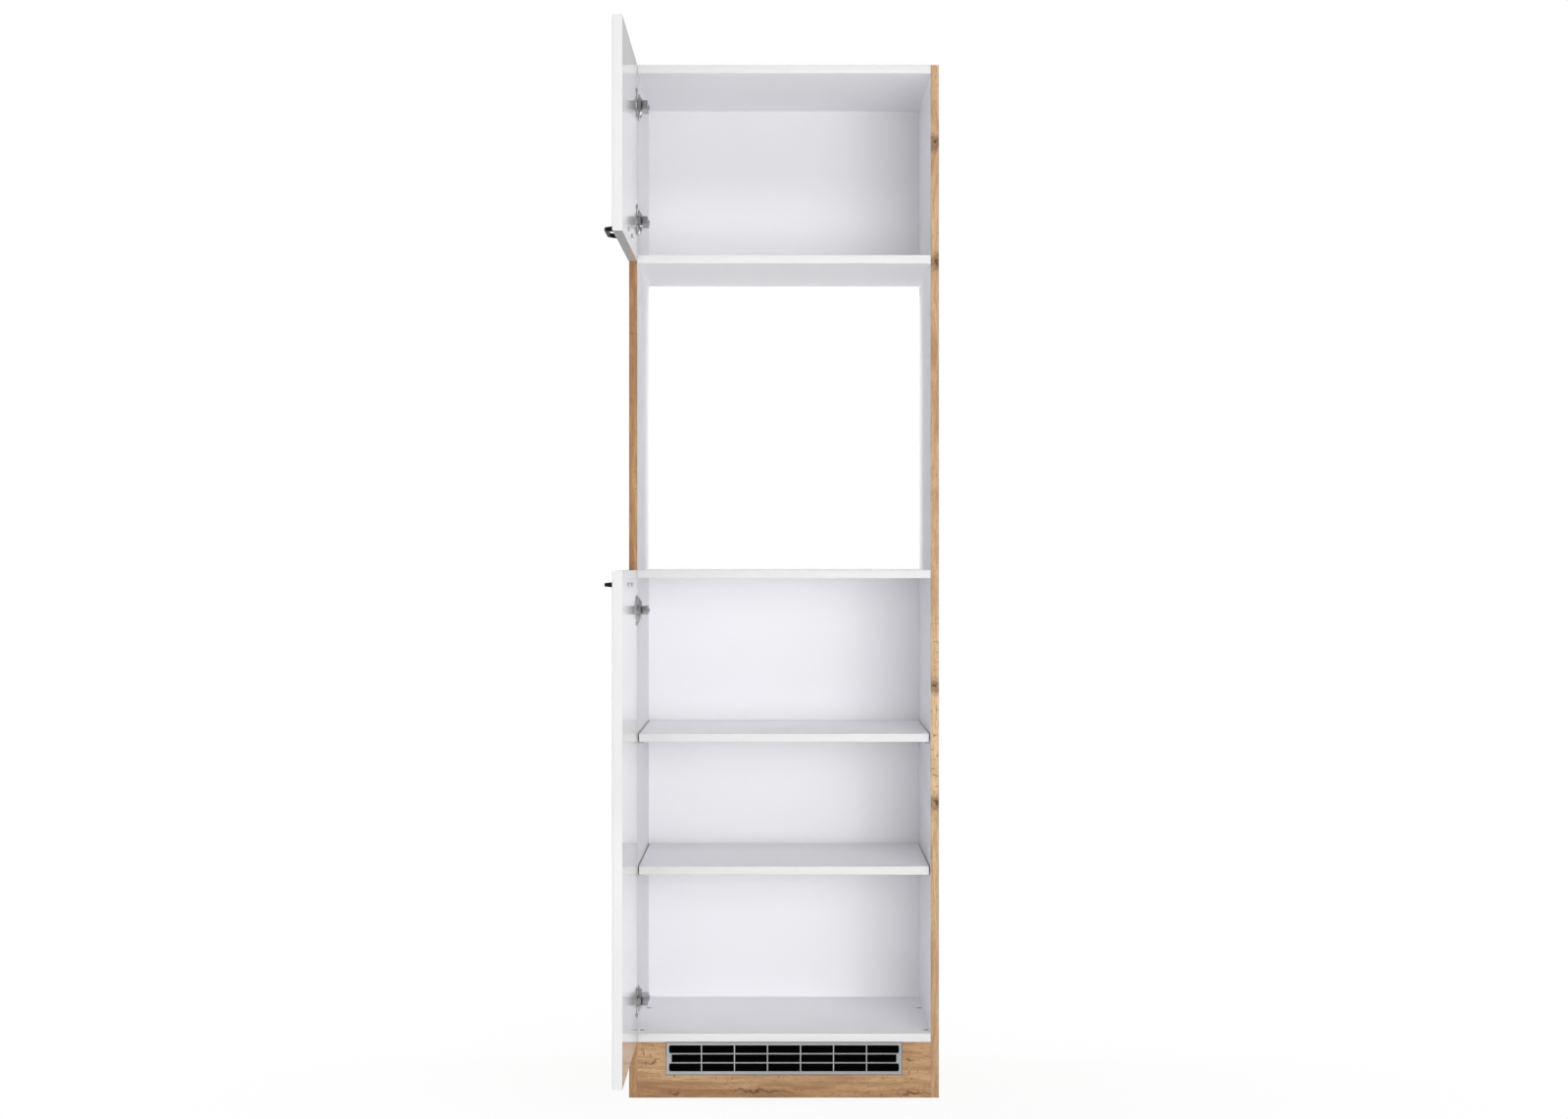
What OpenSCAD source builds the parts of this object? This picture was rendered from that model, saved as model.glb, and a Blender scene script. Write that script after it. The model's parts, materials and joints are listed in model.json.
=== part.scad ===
// Tall kitchen cabinet that houses a built-in oven: an open niche in the middle,
// a short door above it, a long door below it, and a ventilated plinth at the foot.
// Chipboard panels joined with shelf connectors and wooden dowels; both doors hang
// on concealed cup hinges on the left side and stand open at a right angle here.
// Origin: on the floor, at the middle of the carcass front. X right, Y back, Z up.

/* [Carcass] */
// Overall width over the two side panels
unit_w = 600; // [580:1:900]
// Overall height from the floor to the top panel
unit_h = 2000; // [1950:1:2300]
// Depth of the side panels from front edge to rear edge
carcass_d = 550; // [500:1:620]
// Thickness of the carcass boards
board_t = 16; // [15:0.5:19]
// Thickness of the edge bands on the front edges
band_t = 1; // [0.4:0.1:2]
// Height of the plinth below the bottom panel
plinth_h = 108; // [90:1:180]
// Thickness of the nailed back panels
back_t = 3; // [2.5:0.1:5]
// Distance of the back panels' edges inside the carcass outline
back_inset = 2; // [1:0.5:4]

/* [Oven niche] */
// Height of the oven shelf's top face above the floor
oven_shelf_z = 1022; // [950:1:1100]
// Clear height of the niche above the oven shelf
niche_h = 594; // [450:1:600]

/* [Loose shelves] */
// Thickness of the loose shelves
shelf_t = 16; // [15:0.5:19]
// Height of the upper loose shelf's top face
upper_shelf_z = 704; // [600:1:850]
// Height of the lower loose shelf's top face
lower_shelf_z = 446; // [300:1:520]
// Setback of the loose shelves behind the carcass front
shelf_recess = 20; // [5:1:60]
// Gap between a loose shelf's end and the side panel
shelf_play = 2.5; // [1:0.5:4]
// Gap between a loose shelf and the back panel
shelf_back_gap = 2; // [1:0.5:10]
// Diameter of the shelf pins
shelf_pin_d = 5; // [4:0.5:7]
// Depth of a shelf pin in the side panel
shelf_pin_depth = 9; // [7:0.5:12]
// Reach of a shelf pin under the shelf
shelf_pin_reach = 9; // [7:0.5:14]
// Distance of the shelf pins from the carcass front and rear
shelf_pin_inset = 60; // [40:1:120]

/* [Doors] */
// Thickness of the doors
door_t = 18; // [16:0.5:22]
// Reveal between a closed door's upright edges and the carcass outline
door_reveal = 1.5; // [1:0.5:3]
// Gap between a closed door and the carcass front
door_gap = 3; // [2.5:0.5:4]
// Gap between the carcass front and the edge of a door at a right angle
open_gap = 4; // [4:0.5:6]
// Degrees that the doors turn past the right angle
door_over = 20; // [0:1:20]
// Rounding of the doors' outer edges
door_edge_r = 2.5; // [1:0.5:5]
// Height of the upper door's lower edge above the niche
upper_door_rise = 4; // [1:0.5:10]
// Height of the lower door's lower edge above the plinth
lower_door_rise = 2; // [1:0.5:10]

/* [Handles] */
// Distance between the two screws of a handle
handle_pitch = 128; // [64:1:192]
// Width of a handle's legs
handle_leg_w = 12; // [11:0.5:20]
// Height of a handle off the door
handle_reach = 26.5; // [22:0.5:35]
// Thickness of the grip
handle_grip_t = 6; // [5:0.5:10]
// Height of a leg where it meets the door
handle_foot_h = 11.5; // [10:0.5:20]
// Height of the grip at its outer face
handle_tip_h = 6.2; // [5:0.1:10]
// Distance of a handle's middle line from the nearest door edge
handle_offset = 26; // [20:1:60]
// Diameter of the handle screws
handle_screw_d = 4; // [3:0.5:5]
// Depth of a screw in the handle
handle_screw_bite = 12; // [8:0.5:14]
// Rounding of the bow's outer corners
handle_outer_r = 12; // [8:0.5:14]
// Rounding of the finger gap's corners
handle_inner_r = 12; // [6:0.5:14]
// Lean of the legs' outer faces towards the middle
handle_lean = 2.5; // [1:0.5:4]

/* [Cup hinges] */
// Distance of a hinge's middle from the door's end
hinge_end = 78; // [60:1:110]
// Least gap between the two hinge cups of a short door
hinge_apart = 6; // [2:1:20]
// Diameter of the hinge cup
cup_d = 35; // [35:1:40]
// Depth of the hinge cup in the door
cup_depth = 12.5; // [11.5:0.1:13.5]
// Distance between the cup's rim and the door's edge
cup_edge = 3; // [3:0.5:5]
// Thickness of the cup's flange on the door
flange_t = 1; // [0.8:0.1:1.5]
// Distance between the two screws of a cup
cup_screw_pitch = 48; // [45:1:52]
// Distance of the cup's screws behind its middle
cup_screw_setback = 6; // [5:0.5:9]
// Lap of the flange around the cup
flange_lap = 2; // [1:0.5:3]
// Width of the flange's two wings
flange_wing = 12; // [11:0.5:14]
// Wall thickness of the cup
cup_wall = 0.9; // [0.8:0.1:1]
// Floor thickness of the cup
cup_floor = 1.2; // [0.8:0.1:1.5]
// Distance of the link's cup pin from the door's turning axis
link_pin_r = 4; // [3:0.1:5]
// Diameter of the link's pins
link_pin_d = 2; // [1.6:0.1:2.4]
// Thickness of the link's plate
link_t = 1.6; // [1.2:0.1:2]
// Height of the hinge arm
arm_h = 16.5; // [15:0.5:18]
// Reach of the hinge arm off the side panel
arm_reach = 20; // [19.5:0.5:20]
// Distance of the arm's pin from the side panel
arm_pin_reach = 12; // [12:0.1:12.5]
// Distance of the arm's pin in front of the carcass
arm_pin_front = 5; // [4.9:0.1:5.2]
// Thickness of the arm's sheet steel
arm_t = 1.5; // [1:0.1:2]
// Distance of the arm's rear end from the carcass front
arm_end = 65; // [60:1:80]
// Distance of the mounting plate's screws from the carcass front
plate_y = 37; // [35:1:40]
// Distance between the mounting plate's two screws
plate_pitch = 32; // [32:1:40]
// Diameter of the mounting plate's screws
plate_screw_d = 5; // [4:0.5:5]
// Diameter of the screws between arm and mounting plate
arm_screw_d = 4; // [3:0.5:4.5]

/* [Joinery] */
// Distance of the front connectors from the carcass front
connector_y = 52; // [40:1:70]
// Distance between the front and the rear connectors
connector_pitch = 320; // [250:1:380]
// Diameter of a connector's housing
housing_d = 18; // [16:0.5:20]
// Diameter of a connector's clamping screw
clamp_screw_d = 9.5; // [8:0.5:10]
// Diameter of a connector's bolt
bolt_d = 6; // [5:0.5:7]
// Diameter of the wooden dowels
dowel_d = 8; // [6:0.5:8]
// Length of the wooden dowels
dowel_l = 30; // [25:1:35]
// Depth of dowels and bolts in the side panels
side_bore_depth = 10; // [8:0.5:12]
// Distance between a front connector and the dowel behind it
dowel_pitch = 64; // [40:1:100]
// Web between a connector's housing and the end of the board
housing_web = 1; // [0.5:0.1:2]
// Floor of a connector's housing under its bolt
housing_floor = 1.5; // [1:0.1:2]
// Reach of a connector's bolt past the side panel
bolt_reach = 6.7; // [6:0.1:8]
// Diameter of the back panel nails
nail_d = 1.6; // [1.2:0.1:2]
// Diameter of a nail's head
nail_head_d = 4; // [3:0.1:5]
// Height of a nail's head
nail_head_t = 0.8; // [0.5:0.1:1.2]
// Length of the back panel nails
nail_l = 18; // [14:1:30]
// Diameter of the wood screws
screw_d = 3.5; // [3:0.5:4]
// Depth of the wood screws in the boards
screw_bite = 10; // [8:0.5:12]
// Height of the screws' heads
head_t = 2; // [1.5:0.1:2.5]
// Edge length of the plinth's corner blocks
block = 20; // [18:1:24]
// Height of the outer corner blocks above the floor
block_z = 34; // [28:1:38]
// Gap between an outer and an inner corner block
block_gap = 4; // [3:0.5:10]

/* [Plinth grille] */
// Width of the grille
grille_w = 458; // [300:1:470]
// Height of the grille
grille_h = 64; // [50:1:70]
// Thickness of the grille's frame
grille_t = 2; // [1:0.1:4]
// Width of the grille's rim at its two ends
grille_rim = 6.4; // [6:0.1:9]
// Width of the rim above the slots
grille_head = 6.1; // [5:0.1:9]
// Width of the rim below the slots
grille_foot = 7.4; // [6:0.1:9]
// Width of the bars between the slots
grille_bar = 2.2; // [2:0.1:5]
// Step by which the inner rows are shorter at each end
grille_step = 5; // [2:0.5:10]
// Rounding of the slots at the grille's ends
grille_slot_r = 3.5; // [1:0.5:5]
// Number of slots in a row
grille_columns = 7; // [3:1:9]
// Number of rows of slots
grille_rows = 3; // [2:1:4]
// Lap of the grille's rim on the plinth board
grille_lap = 6; // [4:0.5:6]
// Depth of the louvre box behind the grille
louvre_d = 14; // [12:0.5:20]
// Wall and blade thickness of the louvre box
louvre_t = 1.2; // [1:0.1:2]
// Number of louvre blades
louvre_blades = 6; // [6:1:9]
// Gap between the louvre box and the bottom panel
louvre_gap = 0.5; // [0.3:0.1:1]

/* [Wall brackets] */
// Distance between the two wall brackets
bracket_pitch = 440; // [300:1:500]
// Width of a wall bracket
bracket_w = 25; // [20:1:40]
// Length of a bracket's leg on the top panel
bracket_leg = 32; // [28:1:50]
// Height of a bracket's leg on the wall
bracket_rise = 20; // [18:1:40]
// Thickness of a bracket
bracket_t = 2; // [1.5:0.1:3]
// Diameter of a bracket's wall screw hole
bracket_hole_d = 6; // [5:0.5:8]
// Distance of a bracket's screws from its front end
bracket_screw_y = 8; // [7:0.5:12]

/* [Clearances] */
// Radial clearance of a turning pin
run_clear = 0.05; // [0.02:0.01:0.09]
// Radial clearance of fixed pins, dowels and screws
seat_clear = 0.05; // [0.02:0.01:0.1]
// Extra depth of blind bores
bore_end_clear = 0.5; // [0.2:0.1:1]

/* [Hidden] */
$fn = 48;

// Colours
decor = [0.78, 0.64, 0.48];
white = [0.93, 0.93, 0.93];
board_white = [0.89, 0.89, 0.91];
zinc = [0.62, 0.62, 0.64];
dark_steel = [0.38, 0.38, 0.39];
black = [0.05, 0.05, 0.05];
silver = [0.74, 0.74, 0.75];
beech = [0.82, 0.68, 0.5];

// Carcass planes
side_x = -unit_w / 2 + board_t;
inner_w = unit_w - 2 * board_t;
niche_top = oven_shelf_z + niche_h;
fixed_z = [plinth_h, oven_shelf_z - board_t, niche_top, unit_h - board_t];
shelf_tops = [lower_shelf_z, upper_shelf_z];
cut = 1;

// Joinery places
connector_ys = [connector_y, connector_y + connector_pitch];
dowel_ys = [connector_y + dowel_pitch, carcass_d - connector_y];
plinth_dowel_zs = [plinth_h * 0.25, plinth_h * 0.75];
housing_x = side_x + housing_d / 2 + housing_web;
clamp_x = side_x + bolt_reach;
housing_depth = board_t / 2 + bolt_d / 2 + housing_floor;
clamp_depth = board_t / 2 - bolt_d / 2 - seat_clear;
pin_ys = [shelf_pin_inset, carcass_d - shelf_pin_inset];
pin_plate_t = 1.5;
head_d = 2 * screw_d;
low_block_x = side_x + block + block_gap;
block_low = block * 0.3;
block_high = block * 0.7;

// Doors in their open pose
door_w = unit_w - 2 * door_reveal;
door_outer_x = side_x - door_t;
door_edge_y = -open_gap;
upper_door_z = [niche_top + upper_door_rise, unit_h];
lower_door_z = [plinth_h + lower_door_rise, oven_shelf_z];
upper_handle_z = upper_door_z[0] + handle_offset;
lower_handle_z = lower_door_z[1] - handle_offset;
handle_y = door_edge_y - door_w / 2;
cup_half = cup_screw_pitch / 2 + flange_wing / 2;
upper_hinges = hinge_places(upper_door_z);
lower_hinges = hinge_places(lower_door_z);
all_hinges = concat(upper_hinges, lower_hinges);
// Hinges on a short door sit nearer its ends, so that the two cups keep clear of each other
function hinge_places(span) =
    let (inset = min(hinge_end, (span[1] - span[0] - hinge_apart) / 2 - cup_half))
    [span[0] + inset, span[1] - inset];

// The doors' upright turning axis follows from the closed and the open door's gaps
axis_sum = -unit_w / 2 + door_reveal - open_gap;
axis_x = (axis_sum + side_x + door_gap) / 2;
axis_y = (axis_sum - side_x - door_gap) / 2;

// Hinge link: its cup pin circles the turning axis, its arm pin slides in a slot
cup_y = door_edge_y - cup_edge - cup_d / 2;
arm_pin = [side_x + arm_pin_reach, -arm_pin_front];
arm_pin_dir = atan2(arm_pin[1] - axis_y, arm_pin[0] - axis_x);
arm_pin_dist = norm([arm_pin[0] - axis_x, arm_pin[1] - axis_y]);
cup_pin_dir = arm_pin_dir - 45;
cup_pin = [axis_x + link_pin_r * cos(cup_pin_dir), axis_y + link_pin_r * sin(cup_pin_dir)];
link_dir = atan2(arm_pin[1] - cup_pin[1], arm_pin[0] - cup_pin[0]);
function link_len(off) = sqrt(
    arm_pin_dist * arm_pin_dist + link_pin_r * link_pin_r
    - 2 * arm_pin_dist * link_pin_r * cos(off));
slot_from = link_len(0) + 0.4;
slot_to = link_len(45 + door_over);
slot_r = link_pin_d / 2 + 1.1;
slot_wall = 0.9;
eye_r = link_pin_d / 2 + run_clear + 1;
crank_r = 6.4;
crank_dir = -28;
crank = [crank_r * cos(crank_dir), crank_r * sin(crank_dir)];
crank_out = atan2(-crank[1], slot_from - crank[0]);
link_wide_l = 6.8;
link_wide_z = arm_h / 2 - 0.05;
link_slim_z = arm_h / 2 - arm_t - 0.3;
pocket_z = link_wide_z + 0.4;
cup_pin_half = 11;
cup_head_t = 1.4;

// Hinge arm and its mounting plate
arm_front = -10.4;
nose_t = 1.2;
nose_slant = 2;
arm_screw_ys = [plate_y - 7, arm_end - 15];
plate_lead = 16;
plate_front = plate_y - plate_lead;
plate_rear = arm_end - 7;
plate_head_sink = 0.8;
arm_bore_x = side_x + 3;
arm_screw_x = side_x + 4;
tongue_step = 2;
tongue_half = arm_h / 2 - arm_t - 0.3;
wing_w = 12;
wing_t = 1.5;
wing_dome = 6.5;
base_x = side_x + 9;
tongue_x = side_x + 14;
web_x = side_x + arm_reach - arm_t;

// Half of each piece is drawn on the left and mirrored to the right
module both_sides() {
    children();
    mirror([1, 0, 0]) children();
}

module block_box(x0, x1, y0, y1, z0, z1) {
    translate([x0, y0, z0]) cube([x1 - x0, y1 - y0, z1 - z0]);
}

// Cylinder along X from x0 to x1
module rod_x(x0, x1, y, z, d) {
    translate([x0, y, z]) rotate([0, 90, 0]) cylinder(d = d, h = x1 - x0);
}

// Cylinder along Y from y0 to y1
module rod_y(x, y0, y1, z, d) {
    translate([x, y0, z]) rotate([-90, 0, 0]) cylinder(d = d, h = y1 - y0);
}

// Blind bore in the left side panel's inner face
module side_bore(y, z, d, depth) {
    rod_x(side_x - depth - bore_end_clear, side_x + cut, y, z, d + 2 * seat_clear);
}

// Nail places on a back panel between two horizontal boards
function nail_rows(z0, z1, steps) = concat(
    [for (x = [-unit_w / 3, 0, unit_w / 3], z = [z0, z1]) [x, z]],
    [for (side = [-1, 1], i = [0:steps]) [side * (unit_w - board_t) / 2, z0 + (z1 - z0) * i / steps]]);
upper_nails = nail_rows(niche_top + board_t / 2, unit_h - board_t / 2, 3);
lower_nails = nail_rows(plinth_h + board_t / 2, oven_shelf_z - board_t / 2, 5);

module nail_holes(points, d) {
    for (p = points)
        rod_y(p[0], carcass_d + back_t - nail_l - bore_end_clear, carcass_d + back_t + cut, p[1], d);
}

module nails(points) {
    for (p = points) {
        rod_y(p[0], carcass_d + back_t - nail_l, carcass_d + back_t, p[1], nail_d);
        rod_y(p[0], carcass_d + back_t, carcass_d + back_t + nail_head_t, p[1], nail_head_d);
    }
}

// Left side panel; the hinge bores are only on this side
module side_board(hinge_side) {
    difference() {
        block_box(-unit_w / 2, side_x, band_t, carcass_d, 0, unit_h);
        for (z = fixed_z, y = connector_ys)
            side_bore(y, z + board_t / 2, bolt_d, side_bore_depth);
        for (z = fixed_z, y = dowel_ys)
            side_bore(y, z + board_t / 2, dowel_d, side_bore_depth);
        for (z = plinth_dowel_zs)
            side_bore(board_t / 2, z, dowel_d, side_bore_depth);
        for (z = shelf_tops, y = pin_ys)
            side_bore(y, z - shelf_t - shelf_pin_d / 2, shelf_pin_d, shelf_pin_depth);
        side_bore(board_t + block / 2, block_z + block_low, screw_d, screw_bite);
        nail_holes(upper_nails, nail_d + 2 * seat_clear);
        nail_holes(lower_nails, nail_d + 2 * seat_clear);
        if (hinge_side)
            for (h = all_hinges, side = [-1, 1])
                side_bore(plate_y, h + side * plate_pitch / 2, plate_screw_d, screw_bite);
    }
}

module side_panel_left() {
    color(decor) side_board(true);
}

module side_panel_right() {
    color(decor) mirror([1, 0, 0]) side_board(false);
}

// Board between the sides, bored for connectors, dowels and nails
module fixed_board(z) {
    difference() {
        block_box(side_x, -side_x, band_t, carcass_d, z, z + board_t);
        both_sides() {
            for (y = connector_ys) {
                translate([housing_x, y, z + board_t - housing_depth])
                    cylinder(d = housing_d + 2 * seat_clear, h = housing_depth + cut);
                rod_x(side_x - cut, clamp_x, y, z + board_t / 2, bolt_d + 2 * seat_clear);
            }
            for (y = dowel_ys)
                rod_x(side_x - cut, side_x + dowel_l - side_bore_depth + bore_end_clear, y,
                    z + board_t / 2, dowel_d + 2 * seat_clear);
        }
        nail_holes(upper_nails, nail_d + 2 * seat_clear);
        nail_holes(lower_nails, nail_d + 2 * seat_clear);
    }
}

module top_panel() {
    color(board_white) difference() {
        fixed_board(fixed_z[3]);
        both_sides() bracket_screw_places()
            translate([0, 0, -screw_bite - bore_end_clear])
                cylinder(d = screw_d + 2 * seat_clear, h = screw_bite + bore_end_clear + cut);
    }
}

module niche_ceiling() {
    color(board_white) fixed_board(fixed_z[2]);
}

module oven_shelf() {
    color(board_white) fixed_board(fixed_z[1]);
}

module bottom_panel() {
    color(board_white) difference() {
        fixed_board(fixed_z[0]);
        both_sides()
            translate([low_block_x + block_low, board_t + block / 2, plinth_h - cut])
                cylinder(d = screw_d + 2 * seat_clear, h = cut + screw_bite + bore_end_clear);
    }
}

// Plinth board, notched from its top edge for the grille
grille_z = plinth_h - grille_h;
louvre_w = grille_w - 2 * grille_lap;
louvre_z = grille_z + grille_lap;
louvre_h = plinth_h - louvre_gap - louvre_z;
module plinth_board() {
    color(decor) difference() {
        block_box(side_x, -side_x, 0, board_t, 0, plinth_h);
        block_box(-louvre_w / 2 - seat_clear, louvre_w / 2 + seat_clear, -cut, board_t + cut,
            louvre_z - seat_clear, plinth_h + cut);
        both_sides() {
            for (z = plinth_dowel_zs)
                rod_x(side_x - cut, side_x + dowel_l - side_bore_depth + bore_end_clear, board_t / 2, z,
                    dowel_d + 2 * seat_clear);
            rod_y(side_x + block / 2, board_t - screw_bite - bore_end_clear, board_t + cut,
                block_z + block_high, screw_d + 2 * seat_clear);
            rod_y(low_block_x + block_high, board_t - screw_bite - bore_end_clear, board_t + cut,
                plinth_h - block / 2, screw_d + 2 * seat_clear);
        }
    }
}

// Back panels of painted hardboard, nailed to the rear edges
module back_board(z0, z1, points) {
    difference() {
        block_box(-unit_w / 2 + back_inset, unit_w / 2 - back_inset, carcass_d, carcass_d + back_t,
            z0 + back_inset, z1 - back_inset);
        nail_holes(points, nail_d + 2 * seat_clear);
    }
}

module upper_back_panel() {
    color(board_white) back_board(niche_top, unit_h, upper_nails);
}

module lower_back_panel() {
    color(board_white) back_board(plinth_h, oven_shelf_z, lower_nails);
}

// Loose shelves, banded on the front edge and laid on four pins each
module loose_shelf(top) {
    block_box(side_x + shelf_play, -side_x - shelf_play, shelf_recess + band_t,
        carcass_d - shelf_back_gap, top - shelf_t, top);
}

module upper_loose_shelf() {
    color(board_white) loose_shelf(upper_shelf_z);
}

module lower_loose_shelf() {
    color(board_white) loose_shelf(lower_shelf_z);
}

module side_edge_bands() {
    color(decor) both_sides() block_box(-unit_w / 2, side_x, 0, band_t, 0, unit_h);
}

module panel_edge_bands() {
    color(white)
        for (z = fixed_z)
            block_box(side_x, -side_x, 0, band_t, z, z + board_t);
}

module loose_shelf_edge_bands() {
    color(white)
        for (top = shelf_tops)
            block_box(side_x + shelf_play, -side_x - shelf_play, shelf_recess, shelf_recess + band_t,
                top - shelf_t, top);
}

module shelf_pins() {
    color(zinc) both_sides()
        for (top = shelf_tops, y = pin_ys) {
            rod_x(side_x - shelf_pin_depth, side_x + shelf_pin_reach, y, top - shelf_t - shelf_pin_d / 2,
                shelf_pin_d);
            block_box(side_x, side_x + shelf_pin_reach, y - shelf_pin_d, y + shelf_pin_d,
                top - shelf_t - pin_plate_t, top - shelf_t);
        }
}

// Connectors: a housing let into the board, a bolt in the side panel, a screw that clamps it
module connector_housings() {
    color(white) both_sides()
        for (z = fixed_z, y = connector_ys)
            difference() {
                translate([housing_x, y, z + board_t - housing_depth])
                    cylinder(d = housing_d, h = housing_depth);
                translate([clamp_x, y, z + board_t - clamp_depth])
                    cylinder(d = clamp_screw_d + 2 * seat_clear, h = clamp_depth + cut);
                rod_x(side_x, clamp_x + bolt_d / 2, y, z + board_t / 2, bolt_d + 2 * seat_clear);
            }
}

module connector_clamp_screws() {
    cross_l = 5;
    cross_w = 1.2;
    cross_depth = 2;
    color(dark_steel) both_sides()
        for (z = fixed_z, y = connector_ys)
            translate([clamp_x, y, z + board_t - clamp_depth]) difference() {
                cylinder(d = clamp_screw_d, h = clamp_depth);
                for (a = [0, 90])
                    rotate([0, 0, a]) translate([-cross_l / 2, -cross_w / 2, clamp_depth - cross_depth])
                        cube([cross_l, cross_w, cross_depth + cut]);
            }
}

module connector_bolts() {
    color(zinc) both_sides()
        for (z = fixed_z, y = connector_ys)
            rod_x(side_x - side_bore_depth, clamp_x, y, z + board_t / 2, bolt_d);
}

module dowel(y, z) {
    rod_x(side_x - side_bore_depth, side_x - side_bore_depth + dowel_l, y, z, dowel_d);
}

module carcass_dowels() {
    color(beech) both_sides() {
        for (z = fixed_z, y = dowel_ys)
            dowel(y, z + board_t / 2);
        for (z = plinth_dowel_zs)
            dowel(board_t / 2, z);
    }
}

module back_panel_nails() {
    color(zinc) {
        nails(upper_nails);
        nails(lower_nails);
    }
}

// Plastic corner block: one face screwed towards -X, the other towards -Y
module corner_block() {
    difference() {
        linear_extrude(block)
            polygon([[0, 0], [block, 0], [block, block * 0.75], [block * 0.75, block], [0, block]]);
        rod_x(-cut, block + cut, block / 2, block_low, screw_d + 2 * seat_clear);
        rod_y(block / 2, -cut, block + cut, block_high, screw_d + 2 * seat_clear);
    }
}

module block_screw_pair() {
    rod_x(-screw_bite, block, block / 2, block_low, screw_d);
    rod_x(block, block + head_t, block / 2, block_low, head_d);
    rod_y(block / 2, -screw_bite, block, block_high, screw_d);
    rod_y(block / 2, block, block + head_t, block_high, head_d);
}

module at_corner_blocks() {
    both_sides() {
        translate([side_x, board_t, block_z]) children();
        translate([low_block_x, board_t, plinth_h]) rotate([0, 90, 0]) children();
    }
}

module corner_blocks() {
    color(white) at_corner_blocks() corner_block();
}

module corner_block_screws() {
    color(zinc) at_corner_blocks() block_screw_pair();
}

function arc(cx, cy, r, a0, a1) = [for (i = [0:6]) let (a = a0 + (a1 - a0) * i / 6)
    [cx + r * cos(a), cy + r * sin(a)]];

// One row of slots, rounded at the grille's two ends and parted by upright bars
module slot_row(x0, z0, z1, r) {
    pitch = (grille_w - 2 * grille_rim + grille_bar) / grille_columns;
    difference() {
        translate([0, cut, 0]) rotate([90, 0, 0]) linear_extrude(grille_t + 2 * cut)
            polygon(concat(
                arc(x0 + r, z0 + r, r, 180, 270), arc(-x0 - r, z0 + r, r, 270, 360),
                arc(-x0 - r, z1 - r, r, 0, 90), arc(x0 + r, z1 - r, r, 90, 180)));
        for (i = [1:grille_columns - 1])
            translate([-grille_w / 2 + grille_rim + i * pitch - grille_bar, -grille_t - 2 * cut, z0 - cut])
                cube([grille_bar, grille_t + 4 * cut, z1 - z0 + 2 * cut]);
    }
}

// Grille frame: a thin plate with rows of slots
module grille_frame() {
    slot_h = (grille_h - grille_head - grille_foot - (grille_rows - 1) * grille_bar) / grille_rows;
    color(silver) difference() {
        block_box(-grille_w / 2, grille_w / 2, -grille_t, 0, grille_z, plinth_h);
        for (j = [0:grille_rows - 1]) {
            z0 = grille_z + grille_foot + j * (slot_h + grille_bar);
            inner = j > 0 && j < grille_rows - 1;
            slot_row(-grille_w / 2 + grille_rim + (inner ? grille_step : 0), z0, z0 + slot_h,
                inner ? grille_slot_r / 3 : grille_slot_r);
        }
    }
}

// Louvre box: thin walls and slanted blades that hide the space behind the plinth
module grille_louvres() {
    pitch = (louvre_h - louvre_t) / louvre_blades;
    blade_front = 1;
    color(black) {
        difference() {
            block_box(-louvre_w / 2, louvre_w / 2, 0, louvre_d, louvre_z, louvre_z + louvre_h);
            block_box(-louvre_w / 2 + louvre_t, louvre_w / 2 - louvre_t, -cut, louvre_d + cut,
                louvre_z + louvre_t, louvre_z + louvre_h - louvre_t);
        }
        for (i = [0:louvre_blades - 1])
            translate([-louvre_w / 2 + louvre_t / 2, 0, louvre_z + louvre_t / 2 + i * pitch])
                rotate([90, 0, 90]) linear_extrude(louvre_w - louvre_t)
                    polygon([
                        [blade_front, 0], [louvre_d, pitch],
                        [louvre_d, pitch + louvre_t / 2], [blade_front, louvre_t / 2]]);
    }
}

// Steel angles that tie the cabinet to the wall
bracket_x = -bracket_pitch / 2;
wall_y = carcass_d + back_t + nail_head_t;
module bracket_screw_places() {
    for (side = [-1, 1])
        translate([bracket_x + side * bracket_w / 4, wall_y - bracket_leg + bracket_screw_y, unit_h])
            children();
}

module wall_brackets() {
    color(zinc) both_sides() difference() {
        union() {
            block_box(bracket_x - bracket_w / 2, bracket_x + bracket_w / 2, wall_y - bracket_leg, wall_y,
                unit_h, unit_h + bracket_t);
            block_box(bracket_x - bracket_w / 2, bracket_x + bracket_w / 2, wall_y - bracket_t, wall_y,
                unit_h, unit_h + bracket_rise);
        }
        bracket_screw_places()
            translate([0, 0, -cut]) cylinder(d = screw_d + 2 * seat_clear, h = bracket_t + 2 * cut);
        rod_y(bracket_x, wall_y - bracket_t - cut, wall_y + cut,
            unit_h + bracket_t + (bracket_rise - bracket_t) / 2, bracket_hole_d);
    }
}

module wall_bracket_screws() {
    color(zinc) both_sides() bracket_screw_places() {
        translate([0, 0, -screw_bite]) cylinder(d = screw_d, h = screw_bite + bracket_t);
        translate([0, 0, bracket_t]) cylinder(d = head_d, h = head_t);
    }
}

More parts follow.
